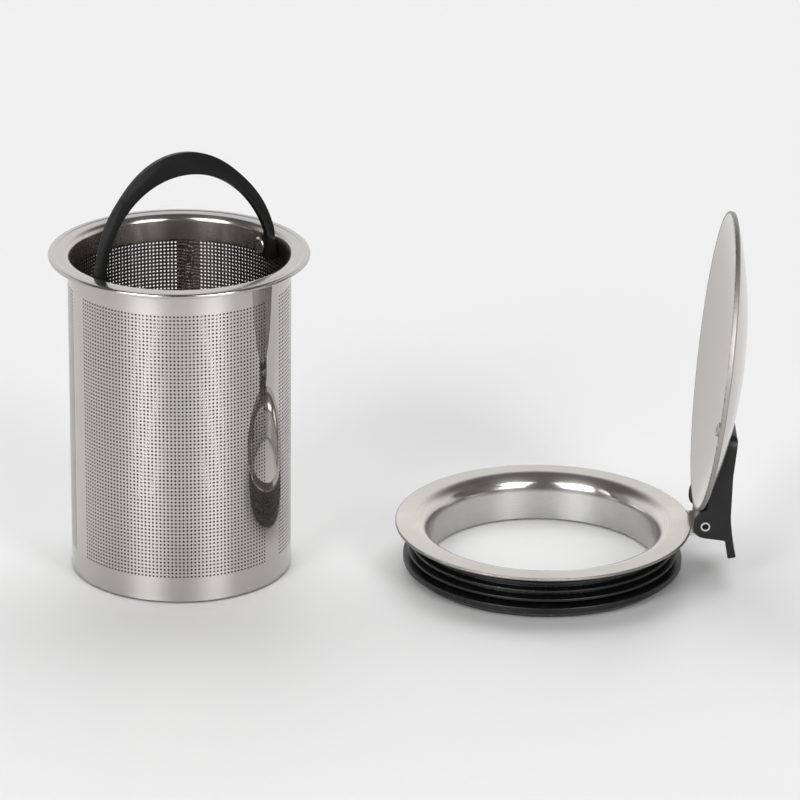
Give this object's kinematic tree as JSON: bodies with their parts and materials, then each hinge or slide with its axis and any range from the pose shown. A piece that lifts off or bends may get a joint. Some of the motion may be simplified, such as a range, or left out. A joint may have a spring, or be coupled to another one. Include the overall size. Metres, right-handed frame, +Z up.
{
  "type": "basket strainer",
  "caption": "Perforated steel infuser basket with folding black bail, beside its gasketed collar with a hinged domed lid and thumb lever.",
  "frame": {"origin": "middle of the set's footprint at table level, between the standing basket and the collar lying beside it", "axes": "+Z up, +X from the basket to the collar and on to its lid hinge, +Y away from the viewer of the front"},
  "size_m": [0.2095, 0.0906, 0.1308],
  "materials": {
    "basket_steel": "satin stainless sheet",
    "rim_steel": "polished stainless",
    "stud_steel": "turned stainless",
    "handle_plastic": "fine matt moulding",
    "collar_steel": "satin stainless, brushed in rings",
    "gasket_silicone": "smooth silicone",
    "pin_steel": "drawn stainless tube",
    "lid_steel": "satin stainless sheet",
    "lever_plastic": "fine matt moulding",
    "screw_steel": "machined stainless"
  },
  "bodies": {
    "collar": {"collar_ring": "collar_steel", "collar_gasket": "gasket_silicone"},
    "lid": {"lid_shell": "lid_steel", "lid_lever": "lever_plastic", "hinge_pin": "pin_steel", "lever_screw_front": "screw_steel", "lever_screw_back": "screw_steel"},
    "basket": {"basket_wall": "basket_steel", "basket_rim": "rim_steel", "basket_floor": "basket_steel", "basket_seam": "basket_steel", "pivot_stud_front": "stud_steel", "pivot_stud_back": "stud_steel"},
    "bail": {"handle": "handle_plastic"}
  },
  "joints": [
    {"name": "lid_hinge", "type": "hinge", "parent": "collar", "child": "lid", "pos_m": [0.09375, 0, 0.0183], "axis": [0, -1, 0], "range_deg": [0, 95.9]},
    {"name": "basket_lift", "type": "slide", "parent": "collar", "child": "basket", "axis": [0, 0, 1], "range_m": [0, 0.13]},
    {"name": "bail_fold", "type": "hinge", "parent": "basket", "child": "bail", "pos_m": [-0.0656, 0.0005, 0.0958], "axis": [-0.7923, -0.6101, 0], "range_deg": [-25, 79.7]}
  ]
}
